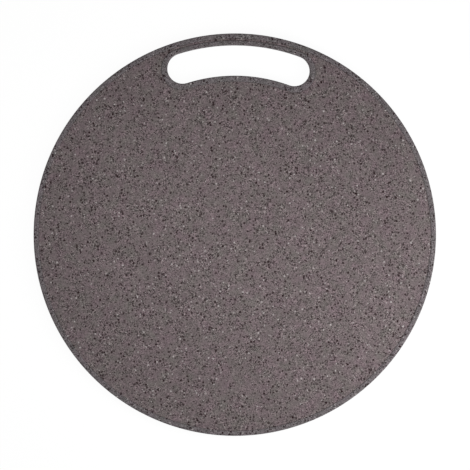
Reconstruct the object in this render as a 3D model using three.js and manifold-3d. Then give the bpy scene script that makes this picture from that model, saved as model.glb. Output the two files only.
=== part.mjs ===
// Round plastic cutting board with a curved hand opening.
// A stiff speckled slab carries two soft rims that stand a little proud of both cutting faces: a band
// round the outer edge and a liner round the hand opening. The slab ends in a thin tongue on both sides,
// the rims are grooved to take it, and small keys of the soft material pass through holes in the tongue,
// so that neither rim can pull off.
// Millimetres, +Z up. The origin lies on the resting plane, under the centre of the disc, and +Y points
// to the hand opening.

import * as THREE from 'three';
import { mergeVertices } from 'three/addons/utils/BufferGeometryUtils.js';
import Module from 'manifold-3d';

// Driving dimensions of the board
const BOARD_DIAMETER = 300;
const BOARD_THICKNESS = 8; // over the rims
const FACE_RECESS = 0.5; // each cutting face lies this far below the rims

// The two rims, measured across as they are seen from above
const EDGE_BAND_WIDTH = 3.6;
const LINER_WIDTH = 4.3; // round the opening's ends and across from the handle bar
const LINER_BAR_WIDTH = 3.2; // along the handle bar
const RIM_ROUND = 1; // radius of the rims' exposed edges
const RIB_WIDTH = 1.2; // strip of slab that shows between the two rims in the handle bar

// The hand opening, a slot bent along an arc about the board's centre, with round ends
const OPENING_WIDTH = 22.9;
const OPENING_LENGTH = 106.3; // straight across, tip to tip

// The joint between the slab and its rims
const JOINT_GAP = 0.3;
const TONGUE_THICKNESS = 2.6;
const SOFT_WALL = 1.1; // from the groove's floor to the rim's exposed side
const KEY_DIAMETER = 1;
const KEY_ROOT = 0.5; // how far a key runs into the groove's sides
const EDGE_KEYS = 16;
const LINER_KEYS = 8;

// Facets of the round stretches
const BOARD_FACETS = 96;
const ARC_FACETS = 16;
const END_FACETS = 10;
const ROUND_FACETS = 4;
const KEY_FACETS = 8;

// Sizes that follow
const boardRadius = BOARD_DIAMETER / 2;
const midHeight = BOARD_THICKNESS / 2;
const slabThickness = BOARD_THICKNESS - 2 * FACE_RECESS;
const grooveThickness = TONGUE_THICKNESS + 2 * JOINT_GAP;
const tongueDepth = SOFT_WALL + JOINT_GAP; // from a rim's exposed side to the tongue's tip
const barWidth = EDGE_BAND_WIDTH + LINER_BAR_WIDTH + RIB_WIDTH + 2 * JOINT_GAP;
const openingOuterRadius = boardRadius - barWidth;
const openingMidRadius = openingOuterRadius - OPENING_WIDTH / 2;

// Outlines. Each gives the points of a closed line that lies a depth inside the material, walked with
// the material on the right: clockwise round the board's edge, anticlockwise round the opening.

const boardCentre = new THREE.Vector2();

function polar(radius, angle) {
  return new THREE.Vector2(radius, 0).rotateAround(boardCentre, angle);
}

// Points along an arc, from its first angle up to, but without, its last.
function arcPoints(centre, radius, from, to, facets) {
  const points = [];
  for (let i = 0; i < facets; i++) {
    points.push(polar(radius, from + ((to - from) * i) / facets).add(centre));
  }
  return points;
}

function boardEdge(depth) {
  return arcPoints(boardCentre, boardRadius - depth, 0, -2 * Math.PI, BOARD_FACETS);
}

// Along the handle bar the depth shrinks with the liner's width.
function handOpening(depth) {
  const lessAtBar = (LINER_WIDTH - LINER_BAR_WIDTH) * Math.min(depth / LINER_WIDTH, 1);
  const endRadius = (OPENING_WIDTH - lessAtBar) / 2 + depth;
  const midRadius = openingMidRadius - lessAtBar / 2;
  const halfAngle = Math.asin((OPENING_LENGTH / 2 + depth - endRadius) / midRadius);
  const rightAngle = Math.PI / 2 - halfAngle;
  const leftAngle = Math.PI / 2 + halfAngle;
  const leftEnd = polar(midRadius, leftAngle);
  const rightEnd = polar(midRadius, rightAngle);
  return [
    ...arcPoints(boardCentre, midRadius + endRadius, rightAngle, leftAngle, ARC_FACETS),
    ...arcPoints(leftEnd, endRadius, leftAngle, leftAngle + Math.PI, END_FACETS),
    ...arcPoints(boardCentre, midRadius - endRadius, leftAngle, rightAngle, ARC_FACETS),
    ...arcPoints(rightEnd, endRadius, rightAngle - Math.PI, rightAngle, END_FACETS),
  ];
}

// Boolean joins and cuts

const wasm = await Module();
wasm.setup();

function solidOf(geometry) {
  const bare = geometry.clone();
  bare.deleteAttribute('normal');
  bare.deleteAttribute('uv');
  const merged = mergeVertices(bare);
  const vertProperties = merged.getAttribute('position').array;
  const triVerts = new Uint32Array(merged.index.array);
  return new wasm.Manifold(new wasm.Mesh({ numProp: 3, vertProperties, triVerts }));
}

function geometryOf(solid) {
  const { vertProperties, triVerts } = solid.getMesh();
  const geometry = new THREE.BufferGeometry();
  geometry.setAttribute('position', new THREE.BufferAttribute(vertProperties, 3));
  geometry.setIndex(new THREE.BufferAttribute(triVerts, 1));
  geometry.computeVertexNormals();
  return geometry;
}

// The slab

// A plate centred on the board's mid height, with its edges set back from the board's edge and opening.
function plate(depthAtEdge, depthAtOpening, thickness) {
  const shape = new THREE.Shape(boardEdge(depthAtEdge));
  shape.holes.push(new THREE.Path(handOpening(depthAtOpening)));
  const geometry = new THREE.ExtrudeGeometry(shape, { depth: thickness, bevelEnabled: false });
  return solidOf(geometry.translate(0, 0, midHeight - thickness / 2));
}

// The keys stand evenly spaced along the middle of a tongue.
function keyPlaces(outline, rimWidth, count) {
  const depth = (tongueDepth + rimWidth + JOINT_GAP) / 2;
  const line = new THREE.Path(outline(depth)).closePath();
  return line.getSpacedPoints(count).slice(1);
}

function keyAt(place, diameter, height) {
  const radius = diameter / 2;
  const geometry = new THREE.CylinderGeometry(radius, radius, height, KEY_FACETS);
  return solidOf(geometry.rotateX(Math.PI / 2).translate(place.x, place.y, midHeight));
}

const edgeKeyPlaces = keyPlaces(boardEdge, EDGE_BAND_WIDTH, EDGE_KEYS);
const linerKeyPlaces = keyPlaces(handOpening, LINER_WIDTH, LINER_KEYS);

function cuttingSlab() {
  const face = plate(EDGE_BAND_WIDTH + JOINT_GAP, LINER_WIDTH + JOINT_GAP, slabThickness);
  const tongue = plate(tongueDepth, tongueDepth, TONGUE_THICKNESS);
  let slab = face.add(tongue);
  for (const place of [...edgeKeyPlaces, ...linerKeyPlaces]) {
    slab = slab.subtract(keyAt(place, KEY_DIAMETER + 2 * JOINT_GAP, slabThickness));
  }
  return geometryOf(slab);
}

// The rims

// Section of a rim as (depth from its exposed side, height), with the groove that takes the tongue.
function rimSection(width) {
  const round = Math.min(RIM_ROUND, width, midHeight);
  const grooveBottom = midHeight - grooveThickness / 2;
  const grooveTop = midHeight + grooveThickness / 2;
  const section = new THREE.Path();
  section.moveTo(width, 0);
  section.lineTo(round, 0);
  section.absarc(round, round, round, -Math.PI / 2, -Math.PI, true);
  section.lineTo(0, BOARD_THICKNESS - round);
  section.absarc(round, BOARD_THICKNESS - round, round, Math.PI, Math.PI / 2, true);
  section.lineTo(width, BOARD_THICKNESS);
  section.lineTo(width, grooveTop);
  section.lineTo(SOFT_WALL, grooveTop);
  section.lineTo(SOFT_WALL, grooveBottom);
  section.lineTo(width, grooveBottom);
  const stepsPerCurve = ROUND_FACETS / 2; // an arc gets two points for each step
  return section.getPoints(stepsPerCurve);
}

// Sweeps a closed section along an outline, one loop of points for each point of the section.
function sweptRing(outline, section) {
  const loops = section.map((point) => outline(point.x).map((p) => [p.x, p.y, point.y]));
  const perLoop = loops[0].length;
  const triangles = [];
  loops.forEach((loop, i) => {
    const next = (i + 1) % loops.length;
    loop.forEach((point, j) => {
      const ahead = (j + 1) % perLoop;
      const [a, b] = [i * perLoop + j, i * perLoop + ahead];
      const [c, d] = [next * perLoop + ahead, next * perLoop + j];
      triangles.push(a, c, b, a, d, c);
    });
  });
  const geometry = new THREE.BufferGeometry();
  geometry.setAttribute('position', new THREE.Float32BufferAttribute(loops.flat(2), 3));
  geometry.setIndex(triangles);
  return solidOf(geometry);
}

function softRim(outline, width, places) {
  let rim = sweptRing(outline, rimSection(width));
  for (const place of places) {
    rim = rim.add(keyAt(place, KEY_DIAMETER, grooveThickness + 2 * KEY_ROOT));
  }
  return geometryOf(rim);
}

// Assembly

const speckledPlastic = new THREE.MeshStandardMaterial({ color: 0x6b6162, roughness: 0.6, metalness: 0 });
const softPlastic = new THREE.MeshStandardMaterial({ color: 0x676162, roughness: 0.65, metalness: 0 });

function piece(name, geometry, material) {
  const mesh = new THREE.Mesh(geometry, material);
  mesh.name = name;
  return mesh;
}

const board = new THREE.Group();
board.name = 'cutting_board';
board.add(piece('cutting_slab', cuttingSlab(), speckledPlastic));
board.add(piece('edge_band', softRim(boardEdge, EDGE_BAND_WIDTH, edgeKeyPlaces), softPlastic));
board.add(piece('handle_liner', softRim(handOpening, LINER_WIDTH, linerKeyPlaces), softPlastic));

export default board;
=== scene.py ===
"""Looks of a round granite-look cutting board, made round its solids and seen from straight above."""

import math

import bmesh
import bpy
from mathutils import Matrix, Vector


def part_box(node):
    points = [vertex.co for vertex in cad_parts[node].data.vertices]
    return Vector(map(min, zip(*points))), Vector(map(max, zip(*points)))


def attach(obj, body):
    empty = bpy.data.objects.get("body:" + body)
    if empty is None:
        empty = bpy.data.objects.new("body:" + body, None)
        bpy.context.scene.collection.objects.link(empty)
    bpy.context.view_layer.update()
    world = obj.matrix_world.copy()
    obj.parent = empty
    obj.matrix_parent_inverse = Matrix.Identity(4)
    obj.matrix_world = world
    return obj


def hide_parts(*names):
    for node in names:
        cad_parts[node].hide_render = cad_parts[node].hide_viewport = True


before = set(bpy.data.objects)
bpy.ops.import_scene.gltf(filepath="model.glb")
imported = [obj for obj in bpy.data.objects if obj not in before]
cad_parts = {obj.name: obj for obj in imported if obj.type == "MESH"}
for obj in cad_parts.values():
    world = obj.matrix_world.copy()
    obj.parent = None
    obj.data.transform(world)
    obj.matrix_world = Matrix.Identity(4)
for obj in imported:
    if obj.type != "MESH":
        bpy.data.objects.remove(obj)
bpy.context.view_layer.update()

MM = 0.001  # lengths are in millimetres unless a heading or a comment says otherwise

# Sizes that the solids give
band_low, band_high = (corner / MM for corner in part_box("edge_band"))
slab_low, slab_high = (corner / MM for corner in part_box("cutting_slab"))
liner_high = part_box("handle_liner")[1] / MM
board_radius = band_high.x
mid_height = (band_low.z + band_high.z) / 2

# Sizes of the rims and their joint with the slab
EDGE_BAND_WIDTH = 3.6
LINER_WIDTH = 4.3  # round the opening's ends and across from the handle bar
LINER_BAR_WIDTH = 3.2  # along the handle bar
OPENING_WIDTH = 22.9
SOLID_GAP = 0.3  # that the solids keep at the joint
SEAM_GAP = 0.08  # that shows at the joint, where the two plastics meet
TONGUE_THICKNESS = 2.6
SOFT_WALL = 1.1  # from a rim's exposed side to its groove
RIM_ROUND = 1.0
RIM_LIP_WIDTH = 0.9  # of a rim's rounded edge towards the slab
RIM_LIP_HEIGHT = 0.45
SLAB_LIP_WIDTH = 0.3  # of the slab's rounded edge towards a rim
SLAB_LIP_HEIGHT = 0.22
FLAT_STRIP = 0.05  # beside each rounded edge, which keeps the shading of the flat parts flat
PARTING_WIDTH = 0.5  # of the fine ridge that the mould leaves round a rim
PARTING_HEIGHT = 0.04

# The hand opening follows from its liner
opening_outer_radius = liner_high.y - LINER_BAR_WIDTH
opening_mid_radius = opening_outer_radius - OPENING_WIDTH / 2
opening_tip = liner_high.x - LINER_WIDTH

# Steps of the round stretches
BOARD_STEPS = 360
ARC_STEPS = 72
END_STEPS = 44
ROUND_STEPS = 8
SHARP_ANGLE = math.radians(35)  # edges that turn further than this stay sharp


# Outlines, walked with the material on the right

def polar(radius, angle):
    return Vector((radius * math.cos(angle), radius * math.sin(angle)))


def arc(centre, radius, start, end, steps):
    """Points along an arc, from its first angle up to, but without, its last."""
    return [centre + polar(radius, start + (end - start) * i / steps) for i in range(steps)]


def board_edge(depth):
    return arc(Vector((0, 0)), board_radius - depth, 0, -2 * math.pi, BOARD_STEPS)


def hand_opening(depth):
    """Slot bent along an arc, with round ends.

    Along the handle bar the depth shrinks with the liner's width.
    """
    less_at_bar = (LINER_WIDTH - LINER_BAR_WIDTH) * min(depth / LINER_WIDTH, 1)
    end_radius = (OPENING_WIDTH - less_at_bar) / 2 + depth
    mid_radius = opening_mid_radius - less_at_bar / 2
    half_angle = math.asin((opening_tip + depth - end_radius) / mid_radius)
    right = math.pi / 2 - half_angle
    left = math.pi / 2 + half_angle
    middle = Vector((0, 0))
    left_end = polar(mid_radius, left)
    right_end = polar(mid_radius, right)
    return [
        *arc(middle, mid_radius + end_radius, right, left, ARC_STEPS),
        *arc(left_end, end_radius, left, left + math.pi, END_STEPS),
        *arc(middle, mid_radius - end_radius, left, right, ARC_STEPS),
        *arc(right_end, end_radius, right - math.pi, right, END_STEPS),
    ]


# Sections, as points of depth from the exposed side and height

def rounded(corner, before, after, reach):
    """Points of the quarter ellipse that rounds a square corner, with a narrow flat strip on each side."""
    back = (before - corner).normalized()
    ahead = (after - corner).normalized()
    start = corner + back * reach
    end = corner + ahead * reach
    centre = start + end - corner
    points = [start + back * FLAT_STRIP]
    for i in range(ROUND_STEPS + 1):
        turn = math.pi / 2 * i / ROUND_STEPS
        points.append(centre + (start - centre) * math.cos(turn) + (end - centre) * math.sin(turn))
    points.append(end + ahead * FLAT_STRIP)
    return points


def section(corners):
    """Points of a section from its corners: depth, height and, where one is rounded, its reach."""
    places = [Vector(corner[:2]) for corner in corners]
    points = []
    for i, (_, _, *reach) in enumerate(corners):
        if reach:
            points += rounded(places[i], places[i - 1], places[(i + 1) % len(places)], Vector(reach))
        else:
            points.append(places[i])
    return points


def rim_section(width):
    """Section of a rim, with the groove that takes the slab's tongue."""
    bottom, top = band_low.z, band_high.z
    groove = TONGUE_THICKNESS / 2 + SOLID_GAP
    seam = width + (SOLID_GAP - SEAM_GAP) / 2
    return section([
        (seam, bottom, RIM_LIP_WIDTH, RIM_LIP_HEIGHT),
        (0, bottom, RIM_ROUND, RIM_ROUND),
        (0, mid_height - PARTING_WIDTH / 2),
        (-PARTING_HEIGHT, mid_height),
        (0, mid_height + PARTING_WIDTH / 2),
        (0, top, RIM_ROUND, RIM_ROUND),
        (seam, top, RIM_LIP_WIDTH, RIM_LIP_HEIGHT),
        (seam, mid_height + groove),
        (SOFT_WALL, mid_height + groove),
        (SOFT_WALL, mid_height - groove),
        (seam, mid_height - groove),
    ])


def slab_section(rim_width):
    """Section of the slab's margin, from the lower face round the tongue to the upper face."""
    side = rim_width + (SOLID_GAP + SEAM_GAP) / 2
    tip = SOFT_WALL + SOLID_GAP
    flat = side + SLAB_LIP_WIDTH + 2 * FLAT_STRIP
    tongue = TONGUE_THICKNESS / 2
    return section([
        (flat, slab_low.z),
        (side, slab_low.z, SLAB_LIP_WIDTH, SLAB_LIP_HEIGHT),
        (side, mid_height - tongue),
        (tip, mid_height - tongue),
        (tip, mid_height + tongue),
        (side, mid_height + tongue),
        (side, slab_high.z, SLAB_LIP_WIDTH, SLAB_LIP_HEIGHT),
        (flat, slab_high.z),
    ])


# Meshes

def sweep(bm, outline, points, closed):
    """Skins a section along an outline and returns its loops of vertices."""
    loops = []
    for point in points:
        loops.append([bm.verts.new((place.x, place.y, point.y)) for place in outline(point.x)])
    pairs = list(zip(loops, loops[1:]))
    if closed:
        pairs.append((loops[-1], loops[0]))
    for lower, upper in pairs:
        for i in range(len(lower)):
            bm.faces.new((lower[i - 1], upper[i - 1], upper[i], lower[i]))
    return loops


def fill_between(bm, outer, inner):
    """Fills the flat ring between two loops of vertices."""
    edges = []
    for loop in (outer, inner):
        for i in range(len(loop)):
            edges.append(bm.edges.get((loop[i - 1], loop[i])))
    bmesh.ops.triangle_fill(bm, edges=edges, use_beauty=True)


def piece(name, bm, material, node):
    """Turns a mesh in millimetres into a piece that stands for a node."""
    bmesh.ops.recalc_face_normals(bm, faces=bm.faces)
    mesh = bpy.data.meshes.new(name)
    bm.to_mesh(mesh)
    bm.free()
    mesh.transform(Matrix.Scale(MM, 4))
    mesh.shade_smooth()
    mesh.set_sharp_from_angle(angle=SHARP_ANGLE)
    mesh.materials.append(material)
    made = bpy.data.objects.new(name, mesh)
    bpy.context.scene.collection.objects.link(made)
    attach(made, "root")
    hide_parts(node)


def soft_rim(name, outline, width, material, node):
    bm = bmesh.new()
    sweep(bm, outline, rim_section(width), closed=True)
    piece(name, bm, material, node)


def granite_slab(material):
    bm = bmesh.new()
    edge_loops = sweep(bm, board_edge, slab_section(EDGE_BAND_WIDTH), closed=False)
    opening_loops = sweep(bm, hand_opening, slab_section(LINER_WIDTH), closed=False)
    for side in (0, -1):  # the first loops bound the lower face, the last ones the upper face
        fill_between(bm, edge_loops[side], opening_loops[side])
    piece("granite_slab", bm, material, "cutting_slab")


# Nodes of materials

def srgb(red, green, blue):
    """Linear colour from values of 0 to 255, by the formula of the sRGB standard."""
    def linear(value):
        share = value / 255
        return share / 12.92 if share <= 0.04045 else ((share + 0.055) / 1.055) ** 2.4
    return (linear(red), linear(green), linear(blue), 1)


def put(tree, kind, inputs, **settings):
    """Adds a node. Inputs are values, or outputs of other nodes to link."""
    made = tree.nodes.new(kind)
    for name, value in settings.items():
        setattr(made, name, value)
    for key, value in inputs.items():
        if isinstance(value, bpy.types.NodeSocket):
            tree.links.new(value, made.inputs[key])
        else:
            made.inputs[key].default_value = value
    return made


def calculate(tree, operation, first, second, clamp=False):
    inputs = {0: first, 1: second}
    return put(tree, "ShaderNodeMath", inputs, operation=operation, use_clamp=clamp).outputs[0]


def mapped(tree, value, low, high, to_low, to_high):
    inputs = {"Value": value, "From Min": low, "From Max": high, "To Min": to_low, "To Max": to_high}
    return put(tree, "ShaderNodeMapRange", inputs).outputs["Result"]


def noise(tree, place, size, detail):
    """Smooth noise whose features are about the given size across."""
    return put(tree, "ShaderNodeTexNoise", {"Vector": place, "Scale": 1 / (size * MM), "Detail": detail})


def mixed(tree, share, first, second, blend="MIX"):
    """Colour mix, where sockets 6 and 7 are the colours and 2 is the result."""
    inputs = {0: share, 6: first, 7: second}
    return put(tree, "ShaderNodeMix", inputs, data_type="RGBA", blend_type=blend).outputs[2]


# The speckled plastics

RAGGED_SIZE = 0.6  # of the noise that makes specks ragged
RAGGED_PUSH = 0.8
SPECK_EDGE = 0.06  # over which a speck fades into the ground
GRAIN_SIZE = 0.65
GRAIN_DEPTH = 0.85  # depths are shares by which the ground gets lighter or darker
DARKEST_GROUND = 0.05  # share of its light that the ground keeps under the deepest grain
FLAKE_SIZE = 0.85
FLAKE_DEPTH = 0.12
CLOUD_SIZE = 9  # of warm and cool patches
CROWD_SIZE = 5  # of patches where specks and grain gather or thin out
SPECK_CROWDING = 0.3  # share of cells with a speck that such a patch gains or loses
GRAIN_CROWDING = 0.5  # depth that its grain gains or loses
DRIFT_SIZE = 40
DRIFT_DEPTH = 0.03
ROUGHNESS_DRIFT = 0.05
STIPPLE_SIZE = 0.45
STIPPLE_HEIGHT = 0.04
STIPPLE_STRENGTH = 0.25
PLASTIC_IOR = 1.49
GLOSS_LEVEL = 0.12
NOISE_MIDDLE = (0.5, 0.5, 0.5)
NOISE_RANGE = (0.3, 0.7)  # in which slow noise mostly lies
GRAIN_RANGE = (0.25, 0.75)

# Kinds of speck. The share of cells that hold one, its smallest and largest radius and its faintest cover.
BOLD_DARK = {
    "spacing": 2.1, "share": 0.46, "smallest": 0.45, "largest": 0.97, "faintest": 0.65,
    "turn": (1.5, 0.2, 0.3),
}
FINE_DARK = {
    "spacing": 1.4, "share": 0.56, "smallest": 0.3, "largest": 0.58, "faintest": 0.2,
    "turn": (0.1, 1.3, 1.1),
}
PALE = {
    "spacing": 1.9, "share": 0.28, "smallest": 0.3, "largest": 0.76, "faintest": 0.05,
    "turn": (1.2, 0.6, 0.8),
}

DARK_SPECK = srgb(34, 15, 18)
PALE_SPECK = srgb(190, 183, 182)
SLAB_GROUND = {"warm": srgb(120, 105, 109), "cool": srgb(113, 106, 104), "roughness": 0.55}
RIM_GROUND = {"warm": srgb(117, 108, 112), "cool": srgb(111, 107, 107), "roughness": 0.75}


def ragged(tree, place):
    """Pushes a place about a little, so that specks are not round."""
    push = noise(tree, place, RAGGED_SIZE, detail=1).outputs["Color"]
    centred = put(tree, "ShaderNodeVectorMath", {0: push, 1: NOISE_MIDDLE}, operation="SUBTRACT")
    amount = {0: centred.outputs[0], "Scale": RAGGED_PUSH * MM}
    scaled = put(tree, "ShaderNodeVectorMath", amount, operation="SCALE")
    return put(tree, "ShaderNodeVectorMath", {0: place, 1: scaled.outputs[0]}, operation="ADD").outputs[0]


def specks(tree, place, kind, more):
    """How much specks of one kind cover each point.

    Some cells hold a speck, each with its own size and depth.
    """
    turned = put(tree, "ShaderNodeMapping", {"Vector": place, "Rotation": kind["turn"]}).outputs[0]
    cells = put(tree, "ShaderNodeTexVoronoi", {"Vector": turned, "Scale": 1 / (kind["spacing"] * MM)})
    lot = put(tree, "ShaderNodeSeparateColor", {"Color": cells.outputs["Color"]})
    chance = calculate(tree, "ADD", lot.outputs["Red"], more)
    held = calculate(tree, "GREATER_THAN", chance, 1 - kind["share"])
    radius = mapped(tree, lot.outputs["Green"], 0, 1, kind["smallest"], kind["largest"])
    distance = calculate(tree, "MULTIPLY", cells.outputs["Distance"], kind["spacing"])
    inside = calculate(tree, "SUBTRACT", radius, distance)
    cover = calculate(tree, "DIVIDE", inside, SPECK_EDGE, clamp=True)
    depth = mapped(tree, lot.outputs["Blue"], 0, 1, kind["faintest"], 1)
    return calculate(tree, "MULTIPLY", calculate(tree, "MULTIPLY", cover, held), depth)


def ground_light(tree, place, ragged_place, crowd):
    """How light the ground is at each point, from slow drift, small flakes and fine grain."""
    drift = noise(tree, place, DRIFT_SIZE, detail=2).outputs["Fac"]
    drift_light = mapped(tree, drift, *NOISE_RANGE, 1 - DRIFT_DEPTH, 1 + DRIFT_DEPTH)
    flakes = put(tree, "ShaderNodeTexVoronoi", {"Vector": ragged_place, "Scale": 1 / (FLAKE_SIZE * MM)})
    flake_lot = put(tree, "ShaderNodeSeparateColor", {"Color": flakes.outputs["Color"]}).outputs["Blue"]
    flake_light = mapped(tree, flake_lot, 0, 1, 1 - FLAKE_DEPTH, 1 + FLAKE_DEPTH)
    grain = noise(tree, place, GRAIN_SIZE, detail=1).outputs["Fac"]
    least, most = GRAIN_DEPTH - GRAIN_CROWDING, GRAIN_DEPTH + GRAIN_CROWDING
    grain_depth = mapped(tree, crowd, *NOISE_RANGE, least, most)
    grain_change = calculate(tree, "MULTIPLY", mapped(tree, grain, *GRAIN_RANGE, -1, 1), grain_depth)
    grain_light = calculate(tree, "MAXIMUM", calculate(tree, "ADD", grain_change, 1), DARKEST_GROUND)
    return calculate(tree, "MULTIPLY", calculate(tree, "MULTIPLY", drift_light, flake_light), grain_light)


def speckled(name, warm, cool, roughness):
    """Plastic with a ground between two greys, fine grain, dark specks and fewer pale ones."""
    material = bpy.data.materials.new(name)
    material.use_nodes = True
    tree = material.node_tree
    shader = tree.nodes["Principled BSDF"]
    place = put(tree, "ShaderNodeTexCoord", {}).outputs["Object"]
    ragged_place = ragged(tree, place)

    clouds = mapped(tree, noise(tree, place, CLOUD_SIZE, detail=3).outputs["Fac"], *NOISE_RANGE, 0, 1)
    crowd = noise(tree, place, CROWD_SIZE, detail=2).outputs["Fac"]
    light = ground_light(tree, place, ragged_place, crowd)
    light_colour = put(tree, "ShaderNodeCombineColor", {0: light, 1: light, 2: light}).outputs[0]
    colour = mixed(tree, 1, mixed(tree, clouds, warm, cool), light_colour, "MULTIPLY")
    more_specks = mapped(tree, crowd, *NOISE_RANGE, -SPECK_CROWDING, SPECK_CROWDING)
    for kind, speck_colour in ((PALE, PALE_SPECK), (FINE_DARK, DARK_SPECK), (BOLD_DARK, DARK_SPECK)):
        colour = mixed(tree, specks(tree, ragged_place, kind, more_specks), colour, speck_colour)
    tree.links.new(colour, shader.inputs["Base Color"])

    wear = noise(tree, place, DRIFT_SIZE, detail=4).outputs["Fac"]
    rough = mapped(tree, wear, *NOISE_RANGE, roughness - ROUGHNESS_DRIFT, roughness + ROUGHNESS_DRIFT)
    tree.links.new(rough, shader.inputs["Roughness"])
    stipple = noise(tree, place, STIPPLE_SIZE, detail=2).outputs["Fac"]
    relief = {"Height": stipple, "Strength": STIPPLE_STRENGTH, "Distance": STIPPLE_HEIGHT * MM}
    tree.links.new(put(tree, "ShaderNodeBump", relief).outputs["Normal"], shader.inputs["Normal"])
    shader.inputs["IOR"].default_value = PLASTIC_IOR
    shader.inputs["Specular IOR Level"].default_value = GLOSS_LEVEL
    return material


# Floor and light, in metres and watts

FLOOR_SIZE = 40
FLOOR_DROP = 0.00005
FLOOR_PAINT = 0.85
FLOOR_GLOW = 0.9  # share of the floor's look that stays white in shadow
FLOOR_WHITE = 1.055  # strength of that share, at which the lit floor is white
SKY_STRENGTH = 0.269
WHITE = (1, 1, 1, 1)
far_floor_look = FLOOR_GLOW * FLOOR_WHITE + (1 - FLOOR_GLOW) * FLOOR_PAINT * SKY_STRENGTH
RIGHT_LAMP = {"place": (0.325, -0.129, 0.245), "size": 0.3, "power": 1.114}
TOP_LAMP = {"place": (-0.05, 0, 0.253), "size": 0.2, "power": 0.225}


def seen_directly(tree):
    """One for rays that show the background: camera, glossy and transmission rays."""
    path = put(tree, "ShaderNodeLightPath", {})
    seen = calculate(tree, "MAXIMUM", path.outputs["Is Camera Ray"], path.outputs["Is Glossy Ray"])
    return calculate(tree, "MAXIMUM", seen, path.outputs["Is Transmission Ray"])


def floor_material():
    material = bpy.data.materials.new("pale_floor")
    material.use_nodes = True
    tree = material.node_tree
    tree.nodes.remove(tree.nodes["Principled BSDF"])
    paint = put(tree, "ShaderNodeBsdfDiffuse", {"Color": (FLOOR_PAINT, FLOOR_PAINT, FLOOR_PAINT, 1)})
    glow = put(tree, "ShaderNodeEmission", {"Color": WHITE, "Strength": FLOOR_WHITE})
    share = calculate(tree, "MULTIPLY", seen_directly(tree), FLOOR_GLOW)
    mix = put(tree, "ShaderNodeMixShader", {0: share, 1: paint.outputs[0], 2: glow.outputs[0]})
    tree.links.new(mix.outputs[0], tree.nodes["Material Output"].inputs["Surface"])
    return material


def floor():
    bpy.ops.mesh.primitive_plane_add(size=FLOOR_SIZE, location=(0, 0, -FLOOR_DROP))
    made = bpy.context.object
    made.name = "floor"
    made.data.materials.append(floor_material())


def sky():
    """White light from all round, which looks as bright as the far floor."""
    world = bpy.data.worlds.new("soft_sky")
    bpy.context.scene.world = world
    world.use_nodes = True
    tree = world.node_tree
    strength = mapped(tree, seen_directly(tree), 0, 1, SKY_STRENGTH, far_floor_look)
    tree.links.new(strength, tree.nodes["Background"].inputs["Strength"])
    tree.nodes["Background"].inputs["Color"].default_value = WHITE


def soft_box(name, place, size, power):
    """Square soft lamp that faces the middle of the board."""
    lamp = bpy.data.lights.new(name, "AREA")
    lamp.size = size
    lamp.energy = power
    made = bpy.data.objects.new(name, lamp)
    made.location = place
    made.rotation_mode = "QUATERNION"
    made.rotation_quaternion = Vector(place).to_track_quat("Z", "Y")
    made.visible_camera = False
    bpy.context.scene.collection.objects.link(made)


# Camera

IMAGE_SIDE_PX = 470
BOARD_RADIUS_PX = 201.22
BOARD_CENTRE_PX = Vector((234.81, 234.62))
BOARD_TURN = math.radians(1.27)  # clockwise in the picture
CAMERA_DISTANCE = 2.0  # in metres
SENSOR_MM = 36


def camera():
    """Looks straight down, with the board at its place and size in the picture."""
    metres_per_px = board_radius * MM / BOARD_RADIUS_PX
    widest_level = (band_high.z - RIM_ROUND) * MM
    data = bpy.data.cameras.new("overhead")
    data.sensor_width = SENSOR_MM
    data.lens = SENSOR_MM * CAMERA_DISTANCE / (IMAGE_SIDE_PX * metres_per_px)
    made = bpy.data.objects.new("overhead", data)
    off_centre = (Vector((IMAGE_SIDE_PX / 2, IMAGE_SIDE_PX / 2)) - BOARD_CENTRE_PX) * metres_per_px
    aside = Vector((off_centre.x, -off_centre.y, 0))
    aside.rotate(Matrix.Rotation(BOARD_TURN, 3, "Z"))
    made.location = aside + Vector((0, 0, widest_level + CAMERA_DISTANCE))
    made.rotation_euler = (0, 0, BOARD_TURN)
    bpy.context.scene.collection.objects.link(made)
    bpy.context.scene.camera = made


# The board
slab_plastic = speckled("granite_plastic", **SLAB_GROUND)
rim_plastic = speckled("soft_rim_plastic", **RIM_GROUND)
granite_slab(slab_plastic)
soft_rim("soft_edge_band", board_edge, EDGE_BAND_WIDTH, rim_plastic, "edge_band")
soft_rim("soft_handle_liner", hand_opening, LINER_WIDTH, rim_plastic, "handle_liner")

# The studio
floor()
sky()
soft_box("right_soft_box", **RIGHT_LAMP)
soft_box("top_soft_box", **TOP_LAMP)
camera()
bpy.context.scene.view_settings.view_transform = "Standard"
